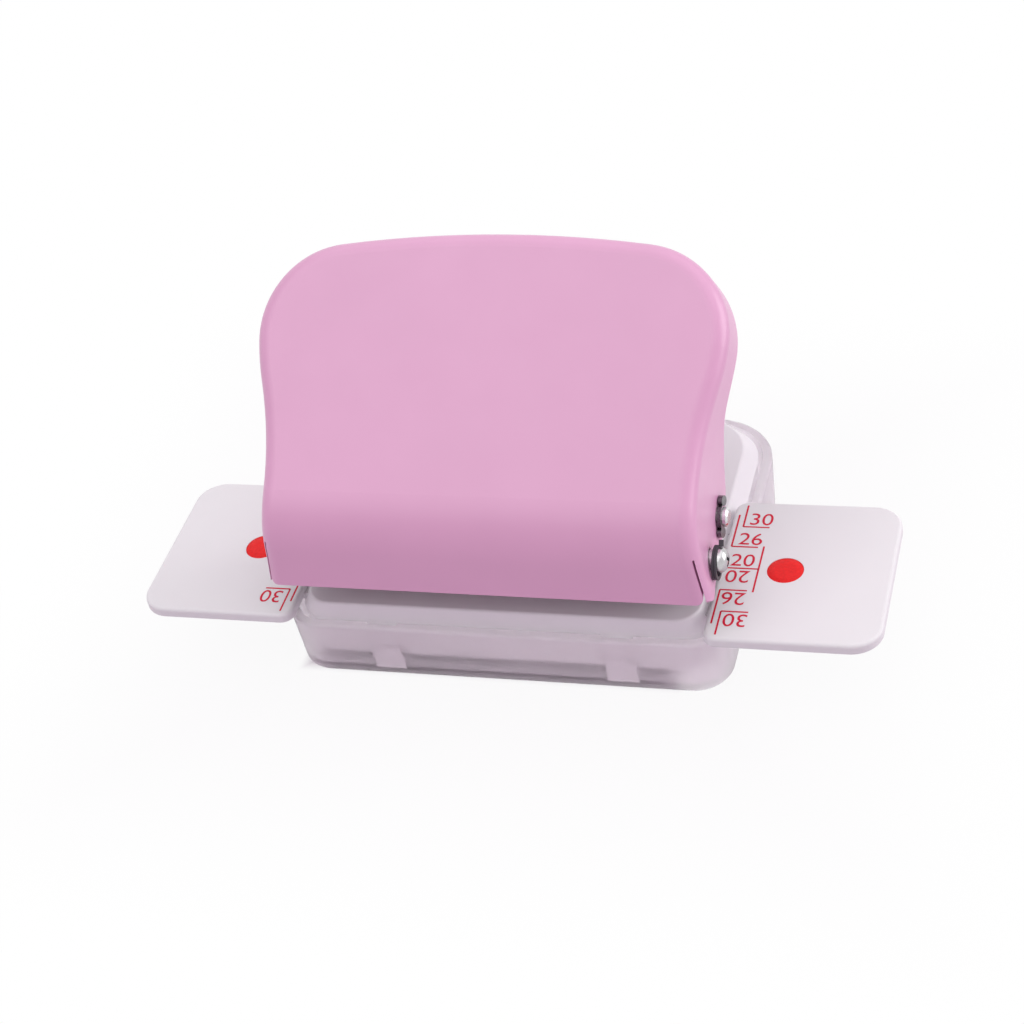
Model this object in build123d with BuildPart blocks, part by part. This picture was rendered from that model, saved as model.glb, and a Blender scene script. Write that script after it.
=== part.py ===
from build123d import *
import os
from math import atan2, cos, degrees, pi, radians, sin, sqrt, tan

os.makedirs("parts", exist_ok=True)

# Six-hole paper punch for loose-leaf sheets, in millimetres.
# X runs along the row of holes, Y from the user towards the back, Z up.
# The origin is on the desk, under the middle of the row of holes.

# Driving dimensions
hole_pitch = 9.5
hole_count = 6
punch_diameter = 5.5
paper_level = 13.5
paper_gap = 1.7
margin_depth = 6.5
stroke_angle = 23
steel = 1.2
pivot_y = -8.8
pivot_z = paper_level + 9.5
axle_z = paper_level + 10.2

# The axle stays above the holes, so the handle's angle gives the punches' stroke.
axle_diameter = 3.0
axle_rest_angle = degrees(atan2(axle_z - pivot_z, -pivot_y))
stroke = (axle_z - pivot_z) - pivot_y * tan(radians(stroke_angle - axle_rest_angle))
hole_places = [(i - (hole_count - 1) / 2) * hole_pitch for i in range(hole_count)]


def rounded_outline(half_width, front, back, front_radius, back_radius):
    """Draws a rectangle in plan with one corner radius in front and another behind."""
    with BuildLine() as outline:
        Polyline((-half_width, front), (half_width, front), (half_width, back), (-half_width, back), close=True)
        fillet(outline.vertices().group_by(Axis.Y)[0], front_radius)
        fillet(outline.vertices().group_by(Axis.Y)[-1], back_radius)
    make_face(outline.edges())


# Chip tray
# A frosted tub that the punch stands in. Its walls lean out a little towards the rim.
rim_level = paper_level - 3.2
tray_wall = 1.5
tray_floor = 1.3
tray_rim_half = 35.3
tray_foot_half = 35.0
tray_rim_front = -14.2
tray_foot_front = -13.7
tray_rim_back = 40.4
tray_foot_back = 39.7
tray_front_corner = 5.8
tray_back_corner = 11.0
tray_foot_round = 1.0
tray_rim_round = 0.5
leg_x = 18.85
leg_width = 4.7
leg_play = 0.15
groove_front = tray_foot_front + 0.5
groove_back = tray_foot_back - 0.5
groove_depth = 1.2


def between(foot, rim, level):
    """Gives a size of the tub's outside at a height, from its sizes at foot and rim."""
    return foot + (rim - foot) * level / rim_level


def tray_section(level, inset):
    """Draws the tub's outline at a height, drawn in by a wall's thickness."""
    rounded_outline(
        between(tray_foot_half, tray_rim_half, level) - inset,
        between(tray_foot_front, tray_rim_front, level) + inset,
        between(tray_foot_back, tray_rim_back, level) - inset,
        tray_front_corner - inset,
        tray_back_corner - inset,
    )


with BuildPart() as chip_tray:
    with BuildSketch(Plane.XY):
        tray_section(0, 0)
    with BuildSketch(Plane.XY.offset(rim_level)):
        tray_section(rim_level, 0)
    loft()
    fillet(chip_tray.edges().group_by(Axis.Z)[0], tray_foot_round)
    fillet(chip_tray.edges().group_by(Axis.Z)[-1], tray_rim_round)
    with BuildSketch(Plane.XY.offset(tray_floor)):
        tray_section(tray_floor, tray_wall)
    with BuildSketch(Plane.XY.offset(rim_level)):
        tray_section(rim_level, tray_wall)
    loft(mode=Mode.SUBTRACT)
    # Upright grooves in the front and back walls guide the legs of the base.
    with BuildSketch(Plane.XY.offset(tray_floor)):
        for side in (-1, 1):
            for groove_y in (groove_front + groove_depth / 2, groove_back - groove_depth / 2):
                with Locations((side * leg_x, groove_y)):
                    Rectangle(leg_width + 2 * leg_play, groove_depth)
    extrude(amount=rim_level - tray_floor, mode=Mode.SUBTRACT)
chip_tray.part.label = "chip_tray"
export_step(chip_tray.part, "parts/chip_tray.step")

# Base cover
# The white deck that carries the steel frame, with a skirt that drops into the tray.
deck_half = 31.35
deck_front = -12.3
deck_back = 36.2
deck_front_corner = 4.0
deck_back_corner = 9.0
deck_round = 0.5
deck_thickness = 1.8
shoulder_level = paper_level - 3.0
shoulder_half = 33.2
shoulder_front = -12.4
shoulder_back = 38.2
skirt_bottom = paper_level - 9.6
skirt_half = 32.65
skirt_front = -11.95
skirt_back = 37.7
skirt_front_corner = 5.0
skirt_back_corner = 9.5
cover_wall = 1.5
hollow_lean = 0.6

# The deck is cut out for the die plate. The chips drop through a slot in the pad below it.
plate_half = 30.3
plate_front = -5.2
plate_back = 14.6
plate_middle = (plate_front + plate_back) / 2
plate_depth = plate_back - plate_front
plate_play = 0.1
pad_level = paper_level - 4.2
pad_half = 30.95
pad_margin = 2.0
chip_slot_length = 55.2
chip_slot_width = 7.0
screw_places = [(x, 10.9) for x in (-27.0, -9.5, 9.5, 27.0)]
pillar_radius = 2.9
pillar_bottom = paper_level - 7.1
screw_bore_radius = 1.25
screw_bore_floor = pillar_bottom + 1.0

# A slot in each side takes the tongue of a paper guide.
tongue_half = 9.0
tongue_tip = 28.2
tongue_top = paper_level - 1.3
tongue_thickness = 1.1
tongue_play = 0.1

# Four legs stand on the tray's floor and reach out into the grooves in its walls.
leg_foot = tray_floor + 0.1
leg_top = skirt_bottom + 1.5
leg_front = groove_front + leg_play
leg_back = groove_back - leg_play
leg_root_front = skirt_front + cover_wall
leg_root_back = skirt_back - cover_wall


def skirt_section(inset):
    """Draws the skirt's outline at its lower edge, drawn in by a wall's thickness."""
    rounded_outline(
        skirt_half - inset,
        skirt_front + inset,
        skirt_back - inset,
        skirt_front_corner - inset,
        skirt_back_corner - inset,
    )


def shoulder_section():
    """Draws the cover's outline where it is widest."""
    rounded_outline(shoulder_half, shoulder_front, shoulder_back, skirt_front_corner, skirt_back_corner)


with BuildPart() as base_cover:
    with BuildSketch(Plane.XY.offset(skirt_bottom)):
        skirt_section(0)
    with BuildSketch(Plane.XY.offset(shoulder_level)):
        shoulder_section()
    loft()
    with BuildSketch(Plane.XY.offset(shoulder_level)):
        shoulder_section()
    with BuildSketch(Plane.XY.offset(paper_level)):
        rounded_outline(deck_half, deck_front, deck_back, deck_front_corner, deck_back_corner)
    loft()
    fillet(base_cover.edges().group_by(Axis.Z)[-1], deck_round)
    # Hollow under the deck
    with BuildSketch(Plane.XY.offset(skirt_bottom)):
        skirt_section(cover_wall)
    with BuildSketch(Plane.XY.offset(paper_level - deck_thickness)):
        rounded_outline(
            deck_half - cover_wall + hollow_lean,
            deck_front + cover_wall,
            deck_back - cover_wall,
            deck_front_corner - hollow_lean,
            deck_back_corner - hollow_lean,
        )
    loft(mode=Mode.SUBTRACT)
    # A thick pad under the steel plates, with pillars for the screws
    with BuildSketch(Plane.XY.offset(pad_level)):
        with Locations((0, plate_middle)):
            Rectangle(2 * pad_half, plate_depth + 2 * pad_margin)
    extrude(amount=paper_level - pad_level - deck_thickness / 2)
    with BuildSketch(Plane.XY.offset(pillar_bottom)):
        with Locations(*screw_places):
            Circle(pillar_radius)
    extrude(amount=pad_level - pillar_bottom)
    with BuildSketch(Plane.XY.offset(paper_level - steel)):
        with Locations((0, plate_middle)):
            Rectangle(2 * (plate_half + plate_play), plate_depth + 2 * plate_play)
    extrude(amount=steel, mode=Mode.SUBTRACT)
    with BuildSketch(Plane.XY.offset(pad_level)):
        SlotOverall(chip_slot_length, chip_slot_width)
    extrude(amount=paper_level - pad_level, mode=Mode.SUBTRACT)
    with BuildSketch(Plane.XY.offset(screw_bore_floor)):
        with Locations(*screw_places):
            Circle(screw_bore_radius)
    extrude(amount=paper_level - screw_bore_floor, mode=Mode.SUBTRACT)
    for side in (-1, 1):
        with BuildSketch(Plane.XY.offset(tongue_top - tongue_thickness - tongue_play)):
            with Locations((side * (tongue_tip + shoulder_half) / 2, 0)):
                Rectangle(shoulder_half - tongue_tip + 6 * tongue_play, 2 * (tongue_half + 2 * tongue_play))
        extrude(amount=tongue_thickness + 2 * tongue_play, mode=Mode.SUBTRACT)
    with BuildSketch(Plane.XY.offset(leg_foot)):
        for side in (-1, 1):
            for leg_tip, leg_root in ((leg_front, leg_root_front), (leg_back, leg_root_back)):
                with Locations((side * leg_x, (leg_tip + leg_root) / 2)):
                    Rectangle(leg_width, abs(leg_tip - leg_root))
    extrude(amount=leg_top - leg_foot)
base_cover.part.label = "base_cover"
export_step(base_cover.part, "parts/base_cover.step")

# Die plate
# The lower steel plate, flush with the deck. Its six holes are the dies.
die_clearance = 0.04
screw_hole_radius = 1.4
die_plate_corner = 1.5

with BuildPart() as die_plate:
    with BuildSketch(Plane.XY.offset(paper_level - steel)):
        with Locations((0, plate_middle)):
            Rectangle(2 * plate_half, plate_depth)
        with Locations(*[(x, 0) for x in hole_places]):
            Circle(punch_diameter / 2 + die_clearance, mode=Mode.SUBTRACT)
        with Locations(*screw_places):
            Circle(screw_hole_radius, mode=Mode.SUBTRACT)
    extrude(amount=steel)
    fillet(die_plate.edges().filter_by(Axis.Z).group_by(Axis.Y)[0], die_plate_corner)
die_plate.part.label = "die_plate"
export_step(die_plate.part, "parts/die_plate.step")

# Guide plate
# The upper steel plate. Its back foot lies on the die plate, a step behind the holes
# stops the paper, and an ear at each end carries the handle's pivot and the axle's slot.
guide_level = paper_level + paper_gap
guide_top = guide_level + steel
guide_front = -6.8
guide_half = plate_half - 0.3
foot_back = plate_back - 0.6
stop_slope = 0.8
ear_outer = 31.8
ear_inner = ear_outer - steel
ear_front = -5.2
ear_back = 4.2
ear_top = paper_level + 16.6
ear_corner = 3.0
ear_eye_radius = 4.2
ear_fold = 0.9
upper_level = paper_level + 13.0
tab_half = 2.2
close_fit = 0.05
pivot_shank_radius = 1.25
axle_slot_width = axle_diameter + 2 * close_fit
guide_hole_radius = punch_diameter / 2 + close_fit

with BuildPart() as guide_plate:
    with BuildSketch(Plane.YZ):
        with BuildLine():
            Polyline(
                (foot_back, paper_level),
                (foot_back, paper_level + steel),
                (margin_depth + steel + stop_slope, paper_level + steel),
                (margin_depth + steel, guide_top),
                (guide_front, guide_top),
                (guide_front, guide_level),
                (margin_depth, guide_level),
                (margin_depth, paper_level),
                close=True,
            )
        make_face()
    extrude(amount=guide_half, both=True)
    with BuildSketch(Plane.XY.offset(guide_level)):
        with Locations((0, (guide_front + ear_back) / 2)):
            Rectangle(2 * ear_outer, ear_back - guide_front)
    extrude(amount=steel)
    for side in (-1, 1):
        with BuildSketch(Plane.YZ.offset(side * (ear_inner + steel / 2))):
            with Locations(((ear_front + ear_back) / 2, (guide_level + ear_top) / 2)):
                RectangleRounded(ear_back - ear_front, ear_top - guide_level, ear_corner)
            with Locations(((ear_front + ear_back) / 2, (guide_level + upper_level) / 2)):
                Rectangle(ear_back - ear_front, upper_level - guide_level)
            with Locations((pivot_y, pivot_z)):
                Circle(ear_eye_radius)
            with Locations((pivot_y + ear_eye_radius / 2, pivot_z)):
                Rectangle(ear_eye_radius, 2 * ear_eye_radius)
        extrude(amount=steel / 2, both=True)
    for side in (0, -1):
        fold = guide_plate.edges().filter_by(Axis.Y).group_by(Axis.X)[side].sort_by(Axis.Z)[0]
        fillet(fold, ear_fold)
    with BuildSketch(Plane.XY.offset(paper_level)):
        with Locations(*[(x, 0) for x in hole_places]):
            Circle(guide_hole_radius)
        with Locations(*screw_places):
            Circle(screw_hole_radius)
    extrude(amount=guide_top - paper_level, mode=Mode.SUBTRACT)
    with BuildSketch(Plane.YZ):
        with Locations((pivot_y, pivot_z)):
            Circle(pivot_shank_radius + close_fit)
        with Locations((0, axle_z - stroke / 2)):
            SlotCenterToCenter(stroke + 2 * close_fit, axle_slot_width, rotation=90)
        with Locations((0, upper_level + steel / 2)):
            Rectangle(2 * tab_half, steel)
    extrude(amount=ear_outer, both=True, mode=Mode.SUBTRACT)
guide_plate.part.label = "guide_plate"
export_step(guide_plate.part, "parts/guide_plate.step")

# Upper guide
# A strip that keeps the punches upright, tabbed into the ears at both ends.
upper_half_depth = 4.6

with BuildPart() as upper_guide:
    with BuildSketch(Plane.XY.offset(upper_level)):
        Rectangle(2 * ear_inner, 2 * upper_half_depth)
        Rectangle(2 * ear_outer, 2 * tab_half)
        with Locations(*[(x, 0) for x in hole_places]):
            Circle(guide_hole_radius, mode=Mode.SUBTRACT)
    extrude(amount=steel)
upper_guide.part.label = "upper_guide"
export_step(upper_guide.part, "parts/upper_guide.step")

# Frame screws
# Pan-head screws hold both plates to the base.
screw_head_radius = 2.3
screw_head_height = 1.4
screw_head_edge = 0.5
screw_shank_radius = 1.2
screw_length = 6.5
screw_seat = paper_level + steel
cross_length = 2.4
cross_width = 0.5
cross_depth = 0.8

with BuildPart() as frame_screws:
    with BuildSketch(Plane.XY.offset(screw_seat)):
        with Locations(*screw_places):
            Circle(screw_head_radius)
    extrude(amount=screw_head_height)
    chamfer(frame_screws.edges().group_by(Axis.Z)[-1], screw_head_edge)
    with BuildSketch(Plane.XY.offset(screw_seat - screw_length)):
        with Locations(*screw_places):
            Circle(screw_shank_radius)
    extrude(amount=screw_length)
    with BuildSketch(Plane.XY.offset(screw_seat + screw_head_height)):
        with Locations(*screw_places):
            Rectangle(cross_length, cross_width)
            Rectangle(cross_width, cross_length)
    extrude(amount=-cross_depth, mode=Mode.SUBTRACT)
frame_screws.part.label = "frame_screws"
export_step(frame_screws.part, "parts/frame_screws.step")

# Handle
# A pressed steel shell: an upright front wall that bends back into a sloping plate,
# with one deep flange round the sides and top. A seam parts the front wall from the flange.
handle_steel = 1.0
handle_front = -15.8
handle_slope = 41
slope_point_y = -10.7
slope_point_z = paper_level + 23.2
bend_radius = 12.0
wall_bottom = paper_level + 6.7
wall_corner = 0.9
seam_inset = 0.8
seam_width = 0.3
seam_back = handle_front + 2.0
seam_top = paper_level + 14.8
flange_low = paper_level + 5.6
flange_front_corner = 3.7
flange_back = 5.8
flange_depth = 8.2
flange_corner = 6.0
flange_blend = 10.0
crown_height = 39.9
crown_radius = 192
crown_sweep = 7.2
corner_radius = 14.2
corner_sweep = 87.9
side_radius = 41
side_sweep = 9.1
waist_radius = 63
waist_sweep = 25
waist_tail = 6
fold_radius = 2.4
block_lead = 3
block_depth = 34
far = 60
pivot_hole_radius = 1.65
press_slot_radius = 1.65
press_slot_length = 0.7
press_slot_reach = 9.04

slope_cos = cos(radians(handle_slope))
slope_sin = sin(radians(handle_slope))
slope_start_y = handle_front + bend_radius * (1 - slope_sin)
slope_start_z = slope_point_z + (slope_start_y - slope_point_y) * tan(radians(handle_slope))
bend_start = slope_start_z - bend_radius * slope_cos
handle_plane = Plane(
    origin=(0, slope_start_y, slope_start_z), x_dir=(1, 0, 0), z_dir=(0, -slope_sin, slope_cos)
)


def handle_outline(grow):
    """Draws the handle's front outline as tangent arcs, grown outwards by an amount."""
    with BuildLine() as outline:
        crown = JernArc((0, crown_height + grow), (1, 0), crown_radius + grow, -crown_sweep)
        corner = JernArc(crown @ 1, crown % 1, corner_radius + grow, -corner_sweep)
        flank = JernArc(corner @ 1, corner % 1, side_radius + grow, -side_sweep)
        waist = JernArc(flank @ 1, flank % 1, waist_radius - grow, waist_sweep)
        tail = Line(waist @ 1, waist @ 1 + (waist % 1) * waist_tail)
        Line(tail @ 1, (0, (tail @ 1).Y))
        mirror(about=Plane.YZ)
    make_face(outline.edges())


def outline_block(grow):
    """Makes a block with the handle's front outline, square to its sloping plate."""
    with BuildPart() as block:
        with BuildSketch(handle_plane.offset(-block_depth)):
            handle_outline(grow)
        extrude(amount=block_depth + block_lead)
    return block.part


def handle_block(inset):
    """Makes the solid that fills the handle's skin, drawn in by a thickness."""
    with BuildPart() as block:
        add(outline_block(-inset))
        with BuildSketch(Plane.YZ):
            with BuildLine():
                front = Line((handle_front + inset, 0), (handle_front + inset, bend_start))
                bend = JernArc(front @ 1, (0, 1), bend_radius - inset, -(90 - handle_slope))
                plate = PolarLine(bend @ 1, far, angle=handle_slope)
                Polyline(plate @ 1, ((plate @ 1).Y + far, 0), front @ 0)
            make_face()
        extrude(amount=far, both=True, mode=Mode.INTERSECT)
        skin = [
            face
            for face in block.faces()
            if abs(face.normal_at().X) < 0.001 and face.normal_at().Z > -0.01 and face.normal_at().Y < -0.3
        ]
        crease = [edge for face in skin for edge in face.edges().filter_by(Axis.X, reverse=True)]
        fillet(crease, fold_radius - inset)
    return block.part


def front_box(low, high, back):
    """Makes a wide box between two heights, from in front of the handle to a place behind."""
    with BuildPart() as box:
        with BuildSketch(Plane.XY.offset(low)):
            with Locations((0, back)):
                Rectangle(2 * far, 2 * (back - handle_front), align=(Align.CENTER, Align.MAX))
        extrude(amount=high - low)
    return box.part


def front_wall():
    """Makes a block as wide as the front wall below the bend, with its two rounded corners."""
    with BuildPart() as wall:
        add(front_box(wall_bottom, seam_top + fold_radius, seam_back + fold_radius))
        add(outline_block(-seam_inset - seam_width), mode=Mode.INTERSECT)
        fillet(wall.edges().group_by(Axis.Z)[0].filter_by(Axis.X, reverse=True), wall_corner)
    return wall.part


def seam_cut():
    """Makes what is cut away below the front wall and along the seams at its sides."""
    with BuildPart() as cut:
        add(front_box(0, seam_top, seam_back))
        add(outline_block(-seam_inset), mode=Mode.INTERSECT)
        add(front_wall(), mode=Mode.SUBTRACT)
    return cut.part


def flange_corner_cut():
    """Makes what is cut away to round the lower front corner of each flange."""
    with BuildPart() as cut:
        with BuildSketch(Plane.YZ):
            with Locations((handle_front, 0)):
                Rectangle(
                    2 * flange_front_corner,
                    2 * (flange_low + flange_front_corner),
                )
            with Locations((handle_front + flange_front_corner, flange_low + flange_front_corner)):
                Circle(flange_front_corner, mode=Mode.SUBTRACT)
        extrude(amount=far, both=True)
        add(outline_block(-seam_inset), mode=Mode.SUBTRACT)
    return cut.part


with BuildPart() as handle:
    add(handle_block(0))
    # The flange's edge, seen from the side: level below, upright behind, then up the slope
    flange_y = slope_start_y + flange_depth * slope_sin
    flange_z = slope_start_z - flange_depth * slope_cos
    notch_z = flange_z + (flange_back - flange_y) * tan(radians(handle_slope))
    with BuildSketch(Plane.YZ) as flange_side:
        with BuildLine():
            Polyline(
                (handle_front - 1, flange_low),
                (flange_back, flange_low),
                (flange_back, notch_z),
                (flange_back + far * slope_cos, notch_z + far * slope_sin),
                (handle_front - 1, notch_z + far * slope_sin),
                close=True,
            )
        make_face()
        fillet(flange_side.vertices().sort_by_distance((flange_back, notch_z))[0], flange_blend)
        fillet(flange_side.vertices().sort_by_distance((flange_back, flange_low))[0], flange_corner)
    extrude(amount=far, both=True, mode=Mode.INTERSECT)
    add(handle_block(handle_steel), mode=Mode.SUBTRACT)
    # Round holes for the pivot screws, and short slots that let the axle rise in a straight line
    press_slot_angle = radians(axle_rest_angle)
    press_slot_y = pivot_y + press_slot_reach * cos(press_slot_angle)
    press_slot_z = pivot_z + press_slot_reach * sin(press_slot_angle)
    with BuildSketch(Plane.YZ):
        with Locations((pivot_y, pivot_z)):
            Circle(pivot_hole_radius)
        with Locations((press_slot_y, press_slot_z)):
            SlotCenterToCenter(press_slot_length, 2 * press_slot_radius, rotation=axle_rest_angle)
    extrude(amount=far, both=True, mode=Mode.SUBTRACT)
    add(seam_cut(), mode=Mode.SUBTRACT)
    add(flange_corner_cut(), mode=Mode.SUBTRACT)
handle.part.label = "handle"
export_step(handle.part, "parts/handle.step")

# Pivot screws
# One from each side through the flange and the ear. The head is flat on the washers.
washer_start = 34.3
washer_thickness = 0.4
head_start = washer_start + 2 * washer_thickness
pivot_head_radius = 1.85
pivot_head_height = 1.5
pivot_head_round = 0.5
pivot_shoulder_radius = 1.5
pivot_screw_end = 28.0
pivot_cross_length = 2.0

with BuildPart() as pivot_screws:
    for side in (-1, 1):
        with BuildSketch(Plane.YZ.offset(side * head_start)):
            with Locations((pivot_y, pivot_z)):
                Circle(pivot_head_radius)
        extrude(amount=side * pivot_head_height)
        with BuildSketch(Plane.YZ.offset(side * ear_outer)):
            with Locations((pivot_y, pivot_z)):
                Circle(pivot_shoulder_radius)
        extrude(amount=side * (head_start - ear_outer))
        with BuildSketch(Plane.YZ.offset(side * pivot_screw_end)):
            with Locations((pivot_y, pivot_z)):
                Circle(pivot_shank_radius)
        extrude(amount=side * (ear_outer - pivot_screw_end))
    fillet(pivot_screws.edges().group_by(Axis.X)[0], pivot_head_round)
    fillet(pivot_screws.edges().group_by(Axis.X)[-1], pivot_head_round)
    for side in (-1, 1):
        with BuildSketch(Plane.YZ.offset(side * (head_start + pivot_head_height))):
            with Locations((pivot_y, pivot_z)):
                Rectangle(pivot_cross_length, cross_width)
                Rectangle(cross_width, pivot_cross_length)
        extrude(amount=-side * cross_depth, mode=Mode.SUBTRACT)
pivot_screws.part.label = "pivot_screws"
export_step(pivot_screws.part, "parts/pivot_screws.step")

# Pivot washers
# Two black washers under each screw head, the outer one smaller.
inner_washer_radius = 2.75
outer_washer_radius = 2.6

with BuildPart() as pivot_washers:
    for side in (-1, 1):
        for level, radius in (
            (washer_start, inner_washer_radius),
            (washer_start + washer_thickness, outer_washer_radius),
        ):
            with BuildSketch(Plane.YZ.offset(side * level)):
                with Locations((pivot_y, pivot_z)):
                    Circle(radius)
                    Circle(pivot_shoulder_radius, mode=Mode.SUBTRACT)
            extrude(amount=side * washer_thickness)
pivot_washers.part.label = "pivot_washers"
export_step(pivot_washers.part, "parts/pivot_washers.step")

# Thrust washers
# Nylon rings between the ears and the flanges.
thrust_radius = 3.0
thrust_thickness = 0.6

with BuildPart() as thrust_washers:
    for side in (-1, 1):
        with BuildSketch(Plane.YZ.offset(side * ear_outer)):
            with Locations((pivot_y, pivot_z)):
                Circle(thrust_radius)
                Circle(pivot_shoulder_radius, mode=Mode.SUBTRACT)
        extrude(amount=side * thrust_thickness)
thrust_washers.part.label = "thrust_washers"
export_step(thrust_washers.part, "parts/thrust_washers.step")

# Pivot nuts
# Hexagon nuts on the pivot screws, inside the ears.
nut_across_corners = 5.6
nut_thickness = 2.2

with BuildPart() as pivot_nuts:
    for side in (-1, 1):
        with BuildSketch(Plane.YZ.offset(side * ear_inner)):
            with Locations((pivot_y, pivot_z)):
                RegularPolygon(nut_across_corners / 2, 6)
                Circle(pivot_shank_radius, mode=Mode.SUBTRACT)
        extrude(amount=-side * nut_thickness)
pivot_nuts.part.label = "pivot_nuts"
export_step(pivot_nuts.part, "parts/pivot_nuts.step")

# Press axle
# A steel pin through the handle, the ears and all six punches, grooved for its clips.
axle_half = 35.1
clip_start = 33.6
clip_thickness = 0.6
groove_radius = 1.2
axle_end_chamfer = 0.3

with BuildPart() as press_axle:
    with BuildSketch(Plane.YZ):
        with Locations((0, axle_z)):
            Circle(axle_diameter / 2)
    extrude(amount=axle_half, both=True)
    chamfer(press_axle.edges().filter_by(GeomType.CIRCLE), axle_end_chamfer)
    for side in (-1, 1):
        with BuildSketch(Plane.YZ.offset(side * clip_start)):
            with Locations((0, axle_z)):
                Circle(axle_diameter / 2)
                Circle(groove_radius, mode=Mode.SUBTRACT)
        extrude(amount=side * clip_thickness, mode=Mode.SUBTRACT)
press_axle.part.label = "press_axle"
export_step(press_axle.part, "parts/press_axle.step")

# Axle clips
# Open rings pushed onto the axle from the front, gripping it with three teeth.
clip_radius = 2.9
clip_bore = 2.0
clip_tooth = 0.9
clip_mouth = 2.6
tooth_end = clip_radius - 0.4
tooth_start = groove_radius - 0.1
mouth_start = 0.4

with BuildPart() as axle_clips:
    for side in (-1, 1):
        with BuildSketch(Plane.YZ.offset(side * clip_start)):
            with Locations((0, axle_z)):
                Circle(clip_radius)
                Circle(clip_bore, mode=Mode.SUBTRACT)
            for angle in (60, 180, 300):
                with Locations(Location((0, axle_z), angle)):
                    with Locations(((tooth_start + tooth_end) / 2, 0)):
                        Rectangle(tooth_end - tooth_start, clip_tooth)
            with Locations((mouth_start + clip_radius / 2, axle_z)):
                Rectangle(clip_radius, clip_mouth, mode=Mode.SUBTRACT)
            with Locations((0, axle_z)):
                Circle(groove_radius, mode=Mode.SUBTRACT)
        extrude(amount=side * clip_thickness)
axle_clips.part.label = "axle_clips"
export_step(axle_clips.part, "parts/axle_clips.step")

# Punches
# Six hardened pins. Each has a hollowed cutting end, a cross hole for the axle and a
# groove near the top for its retaining ring.
punch_tip = paper_level + 2.0
punch_top = paper_level + 24.0
punch_top_chamfer = 0.5
tip_hollow_radius = 4.6
tip_hollow_depth = 1.2
ring_groove_radius = 2.3
ring_bottom = paper_level + 23.2
ring_thickness = 0.6
cup_thickness = 0.8

for number, place in enumerate(hole_places, start=1):
    with BuildPart() as punch:
        with BuildSketch(Plane.XY.offset(punch_tip)):
            with Locations((place, 0)):
                Circle(punch_diameter / 2)
        extrude(amount=punch_top - punch_tip)
        chamfer(punch.edges().group_by(Axis.Z)[-1], punch_top_chamfer)
        with BuildSketch(Plane.XY.offset(ring_bottom)):
            with Locations((place, 0)):
                Circle(punch_diameter / 2)
                Circle(ring_groove_radius, mode=Mode.SUBTRACT)
        extrude(amount=ring_thickness, mode=Mode.SUBTRACT)
        with BuildSketch(Plane.YZ.offset(place)):
            with Locations((0, axle_z)):
                Circle(axle_diameter / 2 + close_fit)
            with Locations((0, punch_tip + tip_hollow_depth - tip_hollow_radius)):
                Circle(tip_hollow_radius)
        extrude(amount=punch_diameter, both=True, mode=Mode.SUBTRACT)
    punch.part.label = f"punch_{number}"
    export_step(punch.part, f"parts/punch_{number}.step")

# Spring cups
# A flat steel cup sits over each spring.
cup_radius = 4.1

with BuildPart() as spring_cups:
    with BuildSketch(Plane.XY.offset(ring_bottom - cup_thickness)):
        with Locations(*[(x, 0) for x in hole_places]):
            Circle(cup_radius)
            Circle(punch_diameter / 2, mode=Mode.SUBTRACT)
    extrude(amount=cup_thickness)
spring_cups.part.label = "spring_cups"
export_step(spring_cups.part, "parts/spring_cups.step")

# Retaining rings
# Open rings snapped into the punches' grooves hold the cups down.
retaining_radius = 3.9
ring_mouth = 2.4

with BuildPart() as retaining_rings:
    with BuildSketch(Plane.XY.offset(ring_bottom)):
        for place in hole_places:
            with Locations((place, 0)):
                Circle(retaining_radius)
                Circle(ring_groove_radius, mode=Mode.SUBTRACT)
            with Locations((place, retaining_radius)):
                Rectangle(ring_mouth, 2 * retaining_radius, mode=Mode.SUBTRACT)
    extrude(amount=ring_thickness)
retaining_rings.part.label = "retaining_rings"
export_step(retaining_rings.part, "parts/retaining_rings.step")

# Return springs
# One round each punch, from the upper guide to the cup. The wire starts and ends upright,
# turns into the coil along two arcs and climbs in half turns. Its section has eight sides.
spring_radius = 3.65
spring_wire = 0.6
wire_sides = 8
spring_play = 0.02
spring_start = upper_level + steel
spring_end = ring_bottom - cup_thickness - spring_play
lead_angle = 50
lead_rise = 1.1
half_turns = 7
coil_low = spring_start + spring_wire + lead_rise
coil_high = spring_end - spring_wire - lead_rise
coil_pitch = 2 * (coil_high - coil_low) / half_turns


def coil_point(place, angle):
    """Gives a point on the coil's centre line and the direction of the wire there."""
    turn = radians(angle)
    height = coil_low + coil_pitch * (angle - lead_angle) / 360
    point = Vector(place + spring_radius * cos(turn), spring_radius * sin(turn), height)
    direction = Vector(-spring_radius * sin(turn), spring_radius * cos(turn), coil_pitch / (2 * pi))
    return point, direction.normalized()


def two_arcs(start, start_direction, end, end_direction):
    """Joins two points and directions by two arcs that meet smoothly."""
    span = end - start
    both = start_direction + end_direction
    bend = 2 * (1 - start_direction.dot(end_direction))
    along = span.dot(both)
    if bend < 1e-9:
        reach = span.dot(span) / (2 * along)
    else:
        reach = (sqrt(along * along + bend * span.dot(span)) - along) / bend
    middle = (start + start_direction * reach + end - end_direction * reach) * 0.5
    first = TangentArc(start, middle, tangent=start_direction)
    return first, TangentArc(first @ 1, end, tangent=first % 1)


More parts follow.
